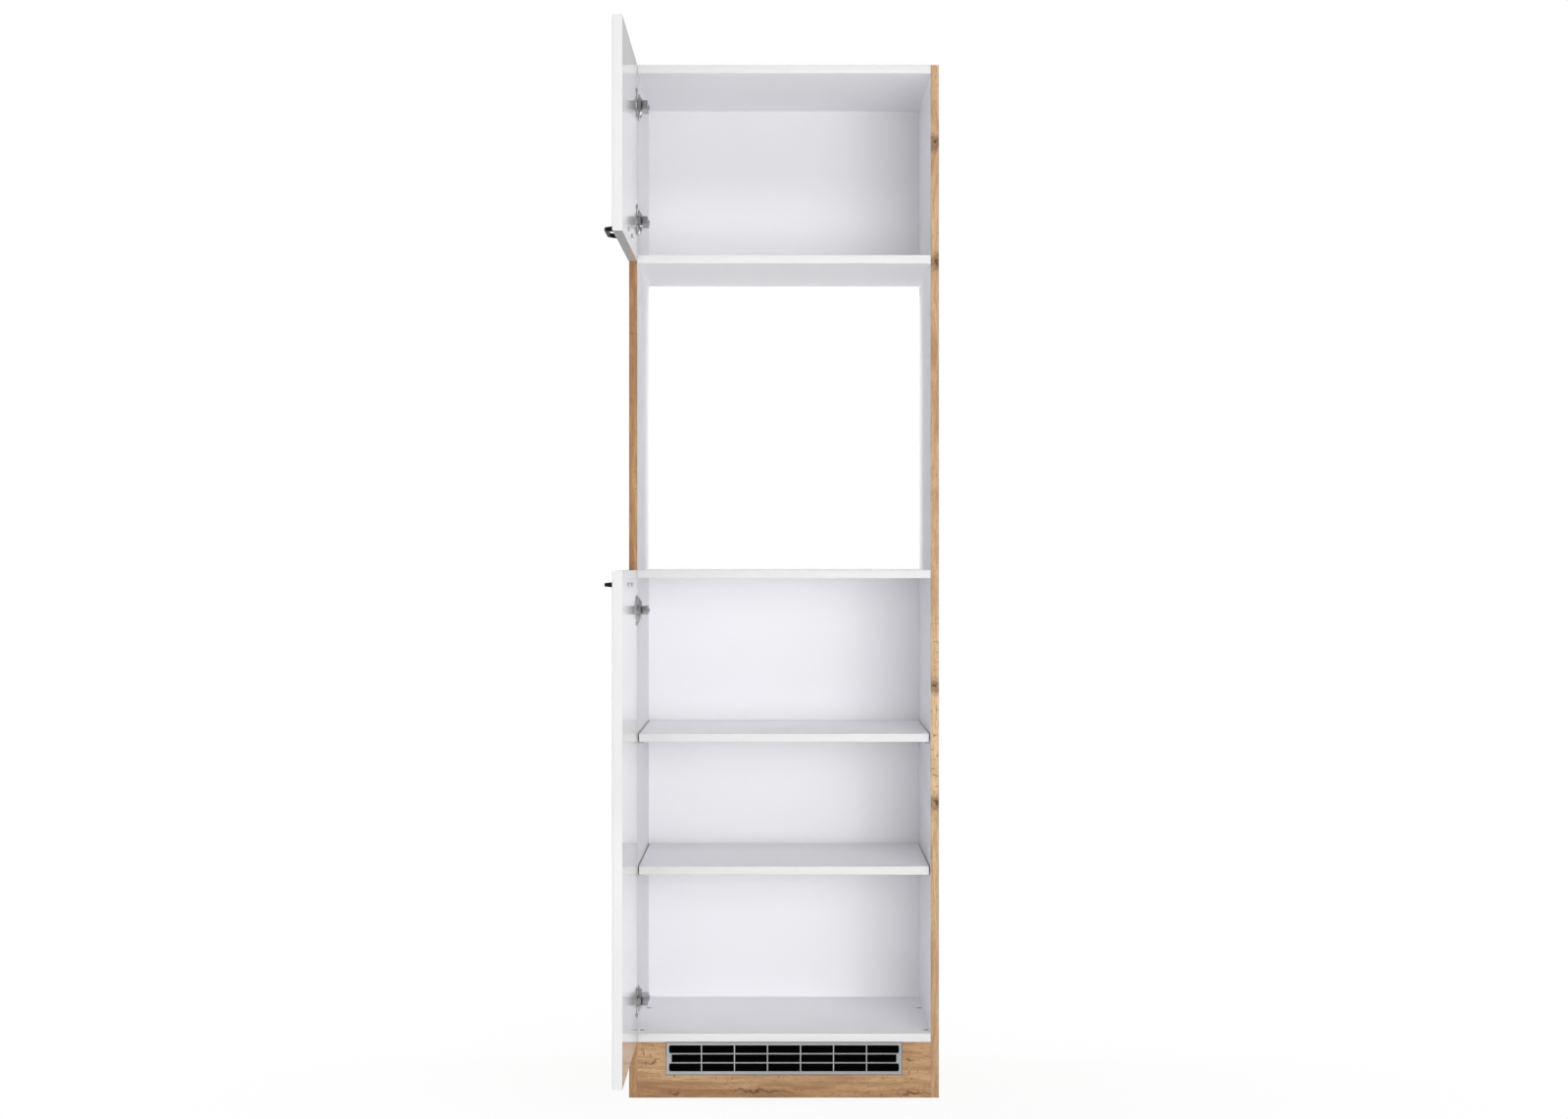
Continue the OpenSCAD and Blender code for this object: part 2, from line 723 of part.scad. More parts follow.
// Doors: foil-wrapped boards with rounded outer edges
module door_leaf(span, hinges, handle_z) {
    r = door_edge_r;
    y0 = door_edge_y - door_w;
    difference() {
        intersection() {
            translate([0, 0, span[0]]) linear_extrude(span[1] - span[0])
                rounded_leaf_section(y0, door_edge_y, r);
            translate([0, door_edge_y, 0]) rotate([90, 0, 0]) linear_extrude(door_w)
                rounded_leaf_section(span[0], span[1], r);
        }
        for (h = hinges) {
            rod_x(side_x - cup_depth - bore_end_clear, side_x + cut, cup_y, h, cup_d + 2 * seat_clear);
            for (side = [-1, 1])
                rod_x(side_x - screw_bite - bore_end_clear, side_x + cut, cup_y - cup_screw_setback,
                    h + side * cup_screw_pitch / 2, screw_d + 2 * seat_clear);
        }
        for (side = [-1, 1])
            rod_x(door_outer_x - cut, side_x + cut, handle_y + side * handle_pitch / 2, handle_z,
                handle_screw_d + 2 * seat_clear);
    }
}

// Section of a door: straight on the inner face, rounded at both outer corners
module rounded_leaf_section(from, to, r) {
    translate([door_outer_x + r, from]) square([door_t - r, to - from]);
    translate([door_outer_x, from + r]) square([door_t - r, to - from - 2 * r]);
    translate([door_outer_x + r, from + r]) circle(r);
    translate([door_outer_x + r, to - r]) circle(r);
}

module upper_door() {
    color(white) door_leaf(upper_door_z, upper_hinges, upper_handle_z);
}

module lower_door() {
    color(white) door_leaf(lower_door_z, lower_hinges, lower_handle_z);
}

// Bow handle: a bow seen from the front, a taper seen from the end
module bow_handle(z) {
    half = (handle_pitch + handle_leg_w) / 2;
    gap = half - handle_leg_w;
    depth = handle_reach - handle_grip_t;
    outer = handle_outer_r;
    inner = handle_inner_r;
    translate([door_outer_x, handle_y, z]) difference() {
        intersection() {
            translate([0, 0, -handle_foot_h / 2]) rotate([0, 0, 90]) linear_extrude(handle_foot_h)
                polygon(concat(
                    [[-half, 0]],
                    arc(-half + handle_lean + outer, handle_reach - outer, outer, 180, 90),
                    arc(half - handle_lean - outer, handle_reach - outer, outer, 90, 0),
                    [[half, 0], [gap, 0]],
                    arc(gap - inner, depth - inner, inner, 0, 90),
                    arc(inner - gap, depth - inner, inner, 90, 180),
                    [[-gap, 0]]));
            translate([0, half, 0]) rotate([90, 0, 0]) linear_extrude(2 * half)
                polygon([
                    [0, -handle_foot_h / 2], [0, handle_foot_h / 2],
                    [-handle_reach, handle_tip_h / 2], [-handle_reach, -handle_tip_h / 2]]);
        }
        for (side = [-1, 1])
            rod_x(-handle_screw_bite - bore_end_clear, cut, side * handle_pitch / 2, 0,
                handle_screw_d + 2 * seat_clear);
    }
}

module upper_handle() {
    color(black) bow_handle(upper_handle_z);
}

module lower_handle() {
    color(black) bow_handle(lower_handle_z);
}

module handle_screws(z) {
    for (side = [-1, 1]) {
        rod_x(door_outer_x - handle_screw_bite, side_x, handle_y + side * handle_pitch / 2, z, handle_screw_d);
        rod_x(side_x, side_x + head_t, handle_y + side * handle_pitch / 2, z, 2 * handle_screw_d);
    }
}

module upper_handle_screws() {
    color(zinc) handle_screws(upper_handle_z);
}

module lower_handle_screws() {
    color(zinc) handle_screws(lower_handle_z);
}

// Hinge cup: a flanged pot with a pocket for the arm's nose, and bores for the link's pin
module hinge_cup() {
    translate([side_x, cup_y, 0]) difference() {
        union() {
            rod_x(-cup_depth, 0, 0, 0, cup_d);
            rod_x(0, flange_t, 0, 0, cup_d + 2 * flange_lap);
            block_box(0, flange_t, -cup_screw_setback - flange_wing / 2, -cup_screw_setback + flange_wing / 2,
                -cup_screw_pitch / 2, cup_screw_pitch / 2);
            for (side = [-1, 1])
                rod_x(0, flange_t, -cup_screw_setback, side * cup_screw_pitch / 2, flange_wing);
        }
        intersection() {
            block_box(-cup_depth + cup_floor, flange_t + cut, -cup_d, cup_d, -pocket_z, pocket_z);
            rod_x(-cup_depth, flange_t + cut, 0, 0, cup_d - 2 * cup_wall);
        }
        translate([cup_pin[0] - side_x, cup_pin[1] - cup_y, -cup_pin_half - bore_end_clear])
            cylinder(d = link_pin_d + 2 * seat_clear, h = 2 * (cup_pin_half + bore_end_clear));
        for (side = [-1, 1])
            rod_x(-cut, flange_t + cut, -cup_screw_setback, side * cup_screw_pitch / 2,
                screw_d + 2 * seat_clear);
    }
}

module cup_screws() {
    for (side = [-1, 1]) {
        rod_x(side_x - screw_bite, side_x + flange_t, cup_y - cup_screw_setback,
            side * cup_screw_pitch / 2, screw_d);
        rod_x(side_x + flange_t, side_x + flange_t + cup_head_t, cup_y - cup_screw_setback,
            side * cup_screw_pitch / 2, head_d);
    }
}

module cup_link_pin() {
    translate([cup_pin[0], cup_pin[1], -cup_pin_half]) cylinder(d = link_pin_d, h = 2 * cup_pin_half);
}

// One long side of the link's cranked plate, from the eye out for side 1 and back for side -1
function crank_side(side) =
    let (h = side * link_t / 2,
        miter = h / cos((crank_out - crank_dir) / 2),
        mid = (crank_out + crank_dir) / 2 + 90,
        pts = [
            [h * cos(crank_dir + 90), h * sin(crank_dir + 90)],
            [crank[0] + miter * cos(mid), crank[1] + miter * sin(mid)],
            [slot_from + h * cos(crank_out + 90), h * sin(crank_out + 90)]])
    side > 0 ? pts : [pts[2], pts[1], pts[0]];

// Link: an eye on the cup's pin, a cranked plate, and a slotted eye on the arm's pin
module hinge_link() {
    translate([cup_pin[0], cup_pin[1], 0]) rotate([0, 0, link_dir]) difference() {
        union() {
            translate([0, 0, -link_wide_z]) cylinder(r = eye_r, h = 2 * link_wide_z);
            translate([0, 0, -link_slim_z]) linear_extrude(2 * link_slim_z)
                polygon(concat(crank_side(1), [[slot_from, 0]], crank_side(-1)));
            translate([crank[0], crank[1], 0]) rotate([0, 0, crank_out])
                block_box(link_t / 2, link_wide_l, -link_t / 2, link_t / 2, -link_wide_z, link_wide_z);
            for (u = [slot_from, slot_to])
                translate([u, 0, -link_slim_z]) cylinder(r = slot_r + slot_wall, h = 2 * link_slim_z);
            block_box(slot_from, slot_to, -slot_r - slot_wall, slot_r + slot_wall,
                -link_slim_z, link_slim_z);
        }
        translate([0, 0, -link_wide_z - cut])
            cylinder(d = link_pin_d + 2 * run_clear, h = 2 * (link_wide_z + cut));
        for (u = [slot_from, slot_to])
            translate([u, 0, -link_slim_z - cut]) cylinder(r = slot_r, h = 2 * (link_slim_z + cut));
        block_box(slot_from, slot_to, -slot_r, slot_r, -link_slim_z - cut, link_slim_z + cut);
    }
}

module at_heights(heights) {
    for (h = heights)
        translate([0, 0, h]) children();
}

module upper_hinge_cups() {
    color(zinc) at_heights(upper_hinges) hinge_cup();
}

module upper_cup_screws() {
    color(zinc) at_heights(upper_hinges) cup_screws();
}

module upper_cup_pins() {
    color(zinc) at_heights(upper_hinges) cup_link_pin();
}

module upper_hinge_links() {
    color(dark_steel) at_heights(upper_hinges) hinge_link();
}

module lower_hinge_cups() {
    color(zinc) at_heights(lower_hinges) hinge_cup();
}

module lower_cup_screws() {
    color(zinc) at_heights(lower_hinges) cup_screws();
}

module lower_cup_pins() {
    color(zinc) at_heights(lower_hinges) cup_link_pin();
}

module lower_hinge_links() {
    color(dark_steel) at_heights(lower_hinges) hinge_link();
}

// Mounting plate: a base with a tongue for the arm and two domed wings for its screws
function wing_section() = concat(
    [[0, arm_h / 2]],
    [for (i = [0:8]) let (z = arm_h / 2 + (plate_pitch / 2 + 1) * i / 8)
        [wing_t + wing_dome * cos(90 * i / 8), z]],
    [[0, arm_h / 2 + plate_pitch / 2 + 1]]);

module hinge_plate() {
    difference() {
        union() {
            block_box(side_x, base_x, plate_front, plate_rear, -arm_h / 2, arm_h / 2);
            block_box(side_x, tongue_x, plate_front + tongue_step, plate_rear - tongue_step,
                -tongue_half, tongue_half);
            for (side = [0, 1])
                translate([side_x, plate_y + wing_w / 2, 0]) mirror([0, 0, side]) rotate([90, 0, 0])
                    linear_extrude(wing_w) polygon(wing_section());
        }
        for (side = [-1, 1])
            rod_x(side_x - cut, base_x + cut, plate_y, side * plate_pitch / 2,
                plate_screw_d + 2 * seat_clear);
        for (y = arm_screw_ys)
            rod_x(arm_bore_x, tongue_x + cut, y, 0, arm_screw_d + 2 * seat_clear);
    }
}

module hinge_plates() {
    color(zinc) at_heights(all_hinges) hinge_plate();
}

module hinge_plate_screws() {
    color(zinc) at_heights(all_hinges)
        for (side = [-1, 1])
            rod_x(side_x - screw_bite, side_x + wing_t + wing_dome - plate_head_sink, plate_y,
                side * plate_pitch / 2, plate_screw_d);
}

// Arm: a steel channel over the plate's tongue; its nose holds the link's second pin
module hinge_arm() {
    nose_x = side_x + arm_reach - nose_slant;
    difference() {
        translate([0, 0, -arm_h / 2]) linear_extrude(arm_h)
            polygon([
                [base_x, arm_end], [base_x, arm_front], [nose_x, arm_front],
                [side_x + arm_reach, arm_front + nose_slant], [side_x + arm_reach, arm_end]]);
        translate([0, 0, -arm_h / 2 + arm_t]) linear_extrude(arm_h - 2 * arm_t)
            polygon([
                [base_x - cut, arm_end + cut], [base_x - cut, arm_front + nose_t],
                [nose_x - nose_t, arm_front + nose_t], [web_x, arm_front + nose_t + nose_slant],
                [web_x, arm_end + cut]]);
        translate([arm_pin[0], arm_pin[1], -arm_h / 2 - cut])
            cylinder(d = link_pin_d + 2 * seat_clear, h = arm_h + 2 * cut);
        for (y = arm_screw_ys)
            rod_x(web_x - cut, side_x + arm_reach + cut, y, 0, arm_screw_d + 2 * seat_clear);
    }
}

module hinge_arms() {
    color(dark_steel) at_heights(all_hinges) hinge_arm();
}

module hinge_arm_screws() {
    color(zinc) at_heights(all_hinges)
        for (y = arm_screw_ys) {
            rod_x(arm_screw_x, side_x + arm_reach, y, 0, arm_screw_d);
            rod_x(side_x + arm_reach, side_x + arm_reach + head_t, y, 0, 2 * arm_screw_d);
        }
}

module hinge_arm_pins() {
    color(zinc) at_heights(all_hinges)
        translate([arm_pin[0], arm_pin[1], -arm_h / 2]) cylinder(d = link_pin_d, h = arm_h);
}

side_panel_left();
side_panel_right();
top_panel();
niche_ceiling();
oven_shelf();
bottom_panel();
plinth_board();
upper_back_panel();
lower_back_panel();
upper_loose_shelf();
lower_loose_shelf();
side_edge_bands();
panel_edge_bands();
loose_shelf_edge_bands();
shelf_pins();
connector_housings();
connector_clamp_screws();
connector_bolts();
carcass_dowels();
back_panel_nails();
corner_blocks();
corner_block_screws();
grille_frame();
grille_louvres();
wall_brackets();
wall_bracket_screws();
hinge_plates();
hinge_plate_screws();
hinge_arms();
hinge_arm_screws();
hinge_arm_pins();
upper_door();
upper_handle();
upper_handle_screws();
upper_hinge_cups();
upper_cup_screws();
upper_cup_pins();
upper_hinge_links();
lower_door();
lower_handle();
lower_handle_screws();
lower_hinge_cups();
lower_cup_screws();
lower_cup_pins();
lower_hinge_links();
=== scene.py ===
# Oven housing cabinet: a tall kitchen unit with an open oven niche between two doors.
# The boards, apart from the plinth's, and some small pieces keep their CAD meshes and get their
# finishes here. All others are copies of their CAD meshes with eased edges. Lengths are in metres.
import json
import math

import bpy
from mathutils import Matrix, Vector

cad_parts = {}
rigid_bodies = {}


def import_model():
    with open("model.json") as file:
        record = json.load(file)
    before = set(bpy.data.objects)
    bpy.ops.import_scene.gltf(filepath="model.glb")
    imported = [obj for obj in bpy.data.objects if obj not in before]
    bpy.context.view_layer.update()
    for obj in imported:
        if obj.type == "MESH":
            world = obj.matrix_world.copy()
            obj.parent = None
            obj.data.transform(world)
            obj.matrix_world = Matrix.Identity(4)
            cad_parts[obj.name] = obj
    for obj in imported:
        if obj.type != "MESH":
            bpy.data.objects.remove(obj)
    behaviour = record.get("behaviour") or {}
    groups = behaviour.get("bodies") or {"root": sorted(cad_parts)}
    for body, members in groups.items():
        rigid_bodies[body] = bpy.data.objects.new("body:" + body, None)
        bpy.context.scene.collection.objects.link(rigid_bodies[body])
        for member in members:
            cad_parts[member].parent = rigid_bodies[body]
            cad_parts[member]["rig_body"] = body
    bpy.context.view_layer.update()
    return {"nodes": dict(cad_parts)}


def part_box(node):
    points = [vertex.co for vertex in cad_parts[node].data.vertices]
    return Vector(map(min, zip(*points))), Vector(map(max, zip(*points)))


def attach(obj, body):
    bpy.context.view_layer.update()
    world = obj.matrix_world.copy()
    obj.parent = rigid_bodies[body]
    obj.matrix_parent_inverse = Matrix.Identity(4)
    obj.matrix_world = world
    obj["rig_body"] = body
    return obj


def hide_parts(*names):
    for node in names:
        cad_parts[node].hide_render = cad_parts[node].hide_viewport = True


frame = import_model()
parts = frame["nodes"]


# Studio
# A pale floor that runs back to a white room, and six large soft lamps. The camera stands
# 6.45 m in front of the carcass at about half its height and looks straight at it.
def wire(tree, kind, inputs=None, **settings):
    """Adds a shader node, sets its properties, and fills or links its inputs."""
    made = tree.nodes.new("ShaderNode" + kind)
    for key, value in settings.items():
        setattr(made, key, value)
    for key, value in (inputs or {}).items():
        if isinstance(value, bpy.types.NodeSocket):
            tree.links.new(value, made.inputs[key])
        else:
            made.inputs[key].default_value = value
    return made


def math_of(tree, operation, *values):
    """One Math node; each value is a number or a socket."""
    return wire(tree, "Math", dict(enumerate(values)), operation=operation).outputs[0]


def spread(tree, value, low, high, to_low=0.0, to_high=1.0):
    """Maps a value from one range to another and clamps it."""
    return wire(tree, "MapRange", {0: value, 1: low, 2: high, 3: to_low, 4: to_high}).outputs[0]


def grey(value):
    """A colour with one value in all three channels."""
    return (value, value, value, 1)


def seen_directly(tree):
    """1 for camera and transmission rays, 0 for the light that falls on the object."""
    path = wire(tree, "LightPath").outputs
    return math_of(tree, "MAXIMUM", path["Is Camera Ray"], path["Is Transmission Ray"])


room_light = 0.2
room_in_gloss = 0.5
room_colour = (0.985, 0.99, 1, 1)
world = bpy.data.worlds.new("white_room")
world.use_nodes = True
tree = world.node_tree
tree.nodes.clear()
glossy_ray = wire(tree, "LightPath").outputs["Is Glossy Ray"]
room_strength = spread(tree, glossy_ray, 0, 1, room_light, room_in_gloss)
soft = wire(tree, "Background", {"Color": room_colour, "Strength": room_strength})
white = wire(tree, "Background", {"Color": grey(1), "Strength": 1})
both = wire(tree, "MixShader", {0: seen_directly(tree), 1: soft.outputs[0], 2: white.outputs[0]})
wire(tree, "OutputWorld", {"Surface": both.outputs[0]})
bpy.context.scene.world = world

# Seen directly the floor is white, and near the cabinet a share of it still takes the shadow
floor_size = 120
shadow_near, shadow_far = 0.5, 1.6
white_near_cabinet = 0.9
bpy.ops.mesh.primitive_plane_add(size=floor_size, location=(0, 0, 0))
floor = bpy.context.object
floor.name = "studio_floor"
pale = bpy.data.materials.new("pale_floor")
pale.use_nodes = True
tree = pale.node_tree
tree.nodes.clear()
matt = wire(tree, "BsdfDiffuse", {"Color": grey(0.86)})
glow = wire(tree, "Emission", {"Color": grey(1), "Strength": 1})
spot = wire(tree, "TexCoord").outputs["Object"]
reach = wire(tree, "VectorMath", {0: spot}, operation="LENGTH").outputs["Value"]
fade = spread(tree, reach, shadow_near, shadow_far, white_near_cabinet, 1)
lift = math_of(tree, "MULTIPLY", seen_directly(tree), fade)
both = wire(tree, "MixShader", {0: lift, 1: matt.outputs[0], 2: glow.outputs[0]})
wire(tree, "OutputMaterial", {"Surface": both.outputs[0]})
floor.data.materials.append(pale)

cabinet_centre = Vector((0, 0.1, 1.0))
for name, place, width, height, watts in (
    ("front_lamp", (1.0, -6.8, 1.1), 2.4, 2, 150),
    ("low_lamp", (1.0, -6.8, 0.72), 4, 1.3, 138),
    ("high_lamp", (1.0, -5.8, 4.2), 4, 1.6, 155),
    ("left_lamp", (-4.6, 1.2, 2.2), 2, 2.6, 190),
    ("right_lamp", (4.6, 1.2, 2.2), 2, 2.6, 140),
    ("rear_lamp", (0, 4.2, 4), 3, 2, 70),
):
    lamp = bpy.data.lights.new(name, "AREA")
    lamp.shape, lamp.size, lamp.size_y, lamp.energy = "RECTANGLE", width, height, watts
    stand = bpy.data.objects.new(name, lamp)
    stand.location = place
    stand.rotation_euler = (cabinet_centre - stand.location).to_track_quat("-Z", "Y").to_euler()
    stand.visible_camera = stand.visible_glossy = False
    bpy.context.scene.collection.objects.link(stand)

camera_height = 1.0423
camera_distance = 6.45
sensor_width_mm = 36
lens_mm = 76.48
view = bpy.data.cameras.new("camera")
view.sensor_width, view.lens = sensor_width_mm, lens_mm
view.clip_end = 200
camera = bpy.data.objects.new("camera", view)
camera.location = (0, -camera_distance, camera_height)
camera.rotation_euler = (math.pi / 2, 0, 0)
bpy.context.scene.collection.objects.link(camera)
bpy.context.scene.camera = camera
bpy.context.scene.view_settings.view_transform = "Standard"


# White boards
# The top, the bottom, the two niche boards and the loose shelves are chipboard with a white
# melamine face. Their ends and rear edges are sawn and bare. Dowels and shelf connectors hold
# the fixed boards to the sides.
def new_group(name, inputs, outputs):
    """A shader node group with named sockets; an input is (name, type, default)."""
    group = bpy.data.node_groups.new(name, "ShaderNodeTree")
    for socket, kind, value in inputs:
        made = group.interface.new_socket(socket, in_out="INPUT", socket_type="NodeSocket" + kind)
        if value is not None:
            made.default_value = value
    for socket, kind in outputs:
        group.interface.new_socket(socket, in_out="OUTPUT", socket_type="NodeSocket" + kind)
    return group, group.nodes.new("NodeGroupInput").outputs, group.nodes.new("NodeGroupOutput")


def use_group(tree, group, inputs):
    """Places a node group in a material and gives its outputs."""
    return wire(tree, "Group", inputs, node_tree=group).outputs


def new_finish(name):
    """A material with a bare Principled shader, and the outputs of its texture coordinates."""
    made = bpy.data.materials.new(name)
    made.use_nodes = True
    tree = made.node_tree
    tree.nodes.clear()
    shader = wire(tree, "BsdfPrincipled")
    wire(tree, "OutputMaterial", {"Surface": shader.outputs[0]})
    return made, tree, shader, wire(tree, "TexCoord").outputs


def feed(tree, shader, **sockets):
    """Links sockets to the shader's inputs; an underscore stands for the space in a name."""
    for key, value in sockets.items():
        tree.links.new(value, shader.inputs[key.replace("_", " ")])


def bump(tree, shader, height, distance):
    """A Bump node between a height and the shader's normal; distance is the real relief."""
    relief = wire(tree, "Bump", {"Height": height, "Distance": distance})
    tree.links.new(relief.outputs[0], shader.inputs["Normal"])


def blend_colour(tree, factor, low, high, how="MIX"):
    """Blends two colours by a factor; a Mix node's colours are its sockets 6 and 7."""
    inputs = {0: factor, 6: low, 7: high}
    return wire(tree, "Mix", inputs, data_type="RGBA", blend_type=how).outputs[2]


def dress(material, *names):
    """Gives CAD nodes one material in all their slots."""
    for name in names:
        slots = parts[name].material_slots
        for slot in slots:
            slot.material = material
        if not slots:
            parts[name].data.materials.append(material)


MM = 0.001
melamine_relief = 0.02 * MM
sawn_roughness = 0.85

# A face looks along an axis where its normal's share of that axis is over this
facing_limit = 0.5

# Uneven surface of a factory finish: slow changes of tone and a fine texture in the gloss
uneven, given, out = new_group(
    "uneven_finish",
    [
        ("Vector", "Vector", None),
        ("Tone", "Float", 0.02),
        ("Gloss", "Float", 0.35),
        ("Spread", "Float", 0.06),
    ],
    [("Tone", "Float"), ("Roughness", "Float"), ("Height", "Float")],
)
clouds = wire(uneven, "TexNoise", {"Vector": given["Vector"], "Scale": 7, "Detail": 3}).outputs[0]
fine = wire(uneven, "TexNoise", {"Vector": given["Vector"], "Scale": 900, "Detail": 2}).outputs[0]
low = math_of(uneven, "SUBTRACT", 1, given["Tone"])
tone = math_of(uneven, "ADD", low, math_of(uneven, "MULTIPLY", clouds, given["Tone"]))
offset = math_of(uneven, "MULTIPLY", math_of(uneven, "SUBTRACT", fine, 0.5), given["Spread"])
uneven.links.new(tone, out.inputs["Tone"])
uneven.links.new(math_of(uneven, "ADD", given["Gloss"], offset), out.inputs["Roughness"])
uneven.links.new(fine, out.inputs["Height"])

# Sawn chipboard: pale chips pressed flat, with darker flecks and a few bark crumbs
dark_chip, pale_chip = (0.44, 0.3, 0.175, 1), (0.72, 0.55, 0.36, 1)
bark_brown = (0.2, 0.12, 0.07, 1)
chipboard, given, out = new_group(
    "chipboard_core", [("Vector", "Vector", None)], [("Color", "Color"), ("Height", "Float")]
)
flat_chips = wire(chipboard, "Mapping", {"Vector": given["Vector"], "Scale": (1, 1, 2.2)}).outputs[0]
chips = wire(chipboard, "TexVoronoi", {"Vector": flat_chips, "Scale": 420}).outputs
crumb_noise = {"Vector": given["Vector"], "Scale": 260, "Detail": 5}
crumbs = wire(chipboard, "TexNoise", crumb_noise).outputs[0]
shade = wire(chipboard, "SeparateColor", {0: chips["Color"]}).outputs[0]
chip_tone = blend_colour(chipboard, shade, dark_chip, pale_chip)
bark = spread(chipboard, crumbs, 0.6, 0.72)
chipboard.links.new(blend_colour(chipboard, bark, chip_tone, bark_brown), out.inputs["Color"])
chipboard.links.new(math_of(chipboard, "SUBTRACT", shade, bark), out.inputs["Height"])


def white_face(tree, place):
    """Colour, roughness and height of the white melamine face."""
    dull, clean = (0.5, 0.5, 0.52, 1), (0.945, 0.94, 0.965, 1)
    skin = use_group(tree, uneven, {"Vector": place, "Tone": 0.025, "Gloss": 0.42, "Spread": 0.1})
    return blend_colour(tree, skin["Tone"], dull, clean), skin["Roughness"], skin["Height"]


board_white, tree, shader, place = new_finish("white_melamine_board")
facing = wire(tree, "SeparateXYZ", {0: place["Normal"]}).outputs
sideways = math_of(tree, "ABSOLUTE", facing["X"])
edgeways = math_of(tree, "MAXIMUM", sideways, facing["Y"])
sawn = math_of(tree, "GREATER_THAN", edgeways, facing_limit)
face, gloss, height = white_face(tree, place["Object"])
core = use_group(tree, chipboard, {"Vector": place["Object"]})
feed(
    tree,
    shader,
    Base_Color=blend_colour(tree, sawn, face, core["Color"]),
    Roughness=math_of(tree, "MAXIMUM", gloss, math_of(tree, "MULTIPLY", sawn, sawn_roughness)),
)
rough_chips = math_of(tree, "MULTIPLY", sawn, core["Height"])
bump(tree, shader, math_of(tree, "ADD", height, rough_chips), melamine_relief)
dress(
    board_white,
    "top_panel",
    "niche_ceiling",
    "oven_shelf",
    "bottom_panel",
    "upper_loose_shelf",
    "lower_loose_shelf",
)


# Wood-decor sides and plinth board
# Chipboard with a printed oak decor on the outside and white melamine inside. The grain runs
# upright on the sides and level on the plinth board, with a few knots and short cracks.
def noise_shift(tree, place, scale, detail):
    """Noise around zero on all three axes, for moving a pattern's place."""
    noise = wire(tree, "TexNoise", {"Vector": place, "Scale": scale, "Detail": detail})
    middle = (0.5, 0.5, 0.5)
    inputs = {0: noise.outputs["Color"], 1: middle}
    return wire(tree, "VectorMath", inputs, operation="SUBTRACT").outputs[0]


def weighted(tree, first, first_share, second, second_share):
    """The sum of two values, each times its own share."""
    one = math_of(tree, "MULTIPLY", first, first_share)
    other = math_of(tree, "MULTIPLY", second, second_share)
    return math_of(tree, "ADD", one, other)


# The Tone input paints shade on the decor: 1 leaves it as printed, 0 darkens it to the painted shade
# tint
oak, given, out = new_group(
    "oak_decor",
    [("Vector", "Vector", None), ("Knots", "Float", 0.0), ("Tone", "Float", 1.0)],
    [("Color", "Color"), ("Roughness", "Float"), ("Height", "Float")],
)
oak_relief = 0.03 * MM
grain_sway = 0.03
drift = noise_shift(oak, given["Vector"], 5, 2)
sway = wire(oak, "VectorMath", {0: drift, 3: grain_sway}, operation="SCALE").outputs[0]
swayed = wire(oak, "VectorMath", {0: given["Vector"], 1: sway}, operation="ADD").outputs[0]


def figure(stretch, scale, detail, distortion=0.0):
    """Noise drawn out along the grain; stretch is the share of the scale kept along it."""
    drawn_out = wire(oak, "Mapping", {"Vector": swayed, "Scale": (1, 1, stretch)}).outputs[0]
    noise = {"Vector": drawn_out, "Scale": scale, "Detail": detail, "Distortion": distortion}
    return wire(oak, "TexNoise", noise).outputs[0]


broad = figure(0.07, 22, 2)
bands = figure(0.07, 95, 4, 0.6)
streaks = figure(0.045, 300, 3)
lines = figure(0.03, 900, 3)
pores = figure(0.055, 1500, 1)

# Short cracks lie slantwise and gather where the broad figure is strong
crack_lie = {"Vector": swayed, "Rotation": (0, 0.45, 0), "Scale": (0.22, 0.22, 0.8)}
slant = wire(oak, "Mapping", crack_lie).outputs[0]
crack_noise = {"Vector": slant, "Scale": 420, "Detail": 2, "Distortion": 0.8}
splits = wire(oak, "TexNoise", crack_noise).outputs[0]
grouped = math_of(oak, "MULTIPLY", splits, spread(oak, broad, 0.4, 0.6, 0.86, 1))

# The board's colour, darkened by streaks, lines, pores and cracks in turn
dark_oak, pale_oak = (0.35, 0.215, 0.117, 1), (0.6, 0.425, 0.262, 1)
grain = weighted(oak, bands, 0.6, broad, 0.4)
colour = blend_colour(oak, spread(oak, grain, 0.38, 0.62), dark_oak, pale_oak)
for mask, strength, dark in (
    (spread(oak, streaks, 0.52, 0.7), 0.5, (0.27, 0.15, 0.075, 1)),
    (spread(oak, lines, 0.5, 0.7), 0.4, (0.3, 0.17, 0.085, 1)),
    (spread(oak, pores, 0.57, 0.66), 0.5, (0.16, 0.09, 0.045, 1)),
    (spread(oak, grouped, 0.62, 0.68), 0.7, (0.11, 0.06, 0.03, 1)),
):
    colour = blend_colour(oak, math_of(oak, "MULTIPLY", mask, strength), colour, dark)

# Knots have rings, which the streaks make waver
ring_turns, ring_waver = 15, 9
knot_brown = (0.085, 0.042, 0.018, 1)
painted_shade_tint = (0.726, 0.603, 0.48, 1)
winding = weighted(oak, given["Knots"], ring_turns, streaks, ring_waver)
rings = spread(oak, math_of(oak, "SINE", winding), -0.8, 0.6, 0.6, 1)
knotty = math_of(oak, "MULTIPLY", given["Knots"], rings)
colour = blend_colour(oak, knotty, colour, knot_brown)
# Painted shade: the decor is multiplied by a tint between white and the painted shade tint
painted_shade_multiplier = blend_colour(oak, given["Tone"], painted_shade_tint, grey(1))
oak.links.new(blend_colour(oak, 1, colour, painted_shade_multiplier, "MULTIPLY"), out.inputs["Color"])
oak.links.new(spread(oak, lines, 0.3, 0.7, 0.5, 0.4), out.inputs["Roughness"])
filled = math_of(oak, "SUBTRACT", 1, pores)
oak.links.new(math_of(oak, "SUBTRACT", filled, knotty), out.inputs["Height"])


